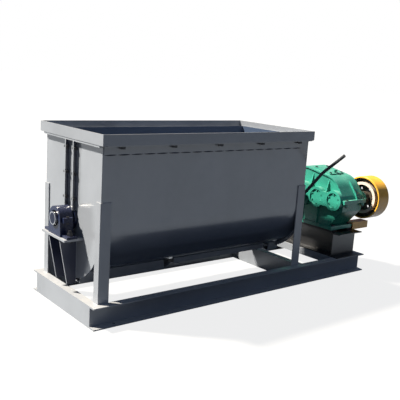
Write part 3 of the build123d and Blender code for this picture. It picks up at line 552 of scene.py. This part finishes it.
def rim_stitches():
    """Stitch welds along the lower edge of both bands under the rim, near black as painted shade of the gap
    there.
    """
    low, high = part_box("rim_bands")
    metal = weld_shade_metal("weld_bead_painted_shade")
    count = int((high.x - low.x) / stitch_pitch)
    step = (stitch_pitch, 0, 0)
    meshes = []
    for side in (-1, 1):
        y = side * (shell_high.y + stitch_radius / 2)
        start = (low.x + stitch_pitch / 2, y, low.z - stitch_radius / 3)
        row = stitch_row("band_stitches", start, step, count, stitch_length, stitch_radius, metal)
        meshes.append(row)
    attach(joined("band_welds", meshes, metal), "frame")


def reducer_screws():
    """Screws of the reducer's three bearing caps."""
    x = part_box("reducer_bearing_caps")[0].x - screw_head / 2 + screw_sunk
    gear_low, gear_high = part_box("countershaft_gear")
    caps = (
        (0.0, output_cap_circle),
        (gear_low.y / 2 + gear_high.y / 2, countershaft_cap_circle),
        (pulley_centre.y, input_cap_circle),
    )
    metal = finishes["reducer_paint"]
    meshes = []
    for y, circle in caps:
        centre = (x, y, shaft_height)
        ring = screw_ring("cap_screws", centre, circle, screws_per_cap, screw_radius, screw_head, metal)
        meshes.append(ring)
    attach(joined("reducer_cap_screws", meshes, metal), "frame")


def hatch_screws():
    """Four screws at the corners of the sloping inspection hatch."""
    low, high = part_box("reducer_hatch")
    away = hatch_reach + screw_head / 2 - screw_sunk
    y = -hatch_drop - away * math.sin(hatch_slope)
    centre = ((low.x + high.x) / 2, y, shaft_height + away * math.cos(hatch_slope))
    metal = finishes["bolt_steel"]
    screws = screw_grid(
        "hatch_screws", centre, hatch_slope, hatch_screws_apart, hatch_screw_counts,
        hatch_screw_radius, screw_head, metal,
    )
    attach(joined("reducer_hatch_screws", [screws], metal), "frame")


rim_stitches()
reducer_screws()
hatch_screws()


# Room: floor, sky, sun and camera

def room_floor():
    """A floor that looks pale to the camera alone, keeps the shadow and runs into a white background."""
    finish = Finish("studio_floor")
    grain = finish.noise(3, 4)
    paler = [(floor_tone * factor,) * 3 for factor in (0.97, 1.03)]
    rays = finish.node("ShaderNodeLightPath")
    lighting = finish.mix(rays.outputs["Is Glossy Ray"], floor_bounce, floor_mirrored)
    seen = finish.mix(rays.outputs["Is Camera Ray"], lighting, finish.mix(grain, *paler))
    finish.set(Base_Color=seen, Roughness=0.8)
    glow = finish.node("ShaderNodeEmission")
    finish.link(finish.math("MULTIPLY", rays.outputs["Is Camera Ray"], floor_glow), glow.inputs["Strength"])
    both = finish.node("ShaderNodeAddShader")
    finish.link(finish.shader.outputs["BSDF"], both.inputs[0])
    finish.link(glow.outputs["Emission"], both.inputs[1])
    output = next(node for node in finish.tree.nodes if node.type == "OUTPUT_MATERIAL")
    finish.link(both.outputs["Shader"], output.inputs["Surface"])
    mesh = bpy.data.meshes.new("studio_floor")
    corners = [(x * floor_half, y * floor_half, 0) for x, y in ((-1, -1), (1, -1), (1, 1), (-1, 1))]
    mesh.from_pydata(corners, [], [(0, 1, 2, 3)])
    mesh.materials.append(finish.material)
    made = bpy.data.objects.new("studio_floor", mesh)
    bpy.context.scene.collection.objects.link(made)


def room_sky():
    world = bpy.data.worlds.new("studio_sky")
    bpy.context.scene.world = world
    world.use_nodes = True
    tree = world.node_tree
    tree.nodes.clear()
    place = tree.nodes.new("ShaderNodeTexCoord")
    parts = tree.nodes.new("ShaderNodeSeparateXYZ")
    tree.links.new(place.outputs["Generated"], parts.inputs["Vector"])
    height = tree.nodes.new("ShaderNodeMapRange")
    tree.links.new(parts.outputs["Z"], height.inputs["Value"])
    height.inputs["To Min"].default_value = sky_horizon
    height.inputs["To Max"].default_value = sky_top
    soft = tree.nodes.new("ShaderNodeBackground")
    soft.inputs["Color"].default_value = (*sky_tint, 1)
    tree.links.new(height.outputs["Result"], soft.inputs["Strength"])
    white = tree.nodes.new("ShaderNodeBackground")
    white.inputs["Color"].default_value = (1, 1, 1, 1)
    rays = tree.nodes.new("ShaderNodeLightPath")
    choose = tree.nodes.new("ShaderNodeMixShader")
    tree.links.new(rays.outputs["Is Camera Ray"], choose.inputs["Fac"])
    tree.links.new(soft.outputs["Background"], choose.inputs[1])
    tree.links.new(white.outputs["Background"], choose.inputs[2])
    output = tree.nodes.new("ShaderNodeOutputWorld")
    tree.links.new(choose.outputs["Shader"], output.inputs["Surface"])


def room_sun():
    light = bpy.data.lights.new("studio_sun", "SUN")
    light.energy = sun_strength
    light.color = sun_tint
    light.angle = math.radians(sun_softness)
    made = bpy.data.objects.new("studio_sun", light)
    made.rotation_euler = Vector(to_sun).to_track_quat("Z", "Y").to_euler()
    bpy.context.scene.collection.objects.link(made)


def room_camera():
    turn, down, roll = (math.radians(angle) for angle in (camera_azimuth, camera_down, camera_roll))
    ahead = Vector((math.sin(turn) * math.cos(down), math.cos(turn) * math.cos(down), -math.sin(down)))
    level = Vector((math.cos(turn), -math.sin(turn), 0))
    upright = level.cross(ahead)
    right = math.cos(roll) * level + math.sin(roll) * upright
    up = math.cos(roll) * upright - math.sin(roll) * level
    data = bpy.data.cameras.new("studio_camera")
    data.lens = camera_lens
    data.sensor_width = camera_sensor
    data.clip_end = camera_reach
    made = bpy.data.objects.new("studio_camera", data)
    axes = Matrix((right, up, -ahead)).transposed()
    made.matrix_world = Matrix.Translation(camera_place) @ axes.to_4x4()
    bpy.context.scene.collection.objects.link(made)
    bpy.context.scene.camera = made


room_floor()
room_sky()
room_sun()
room_camera()
bpy.context.scene.view_settings.view_transform = "Standard"
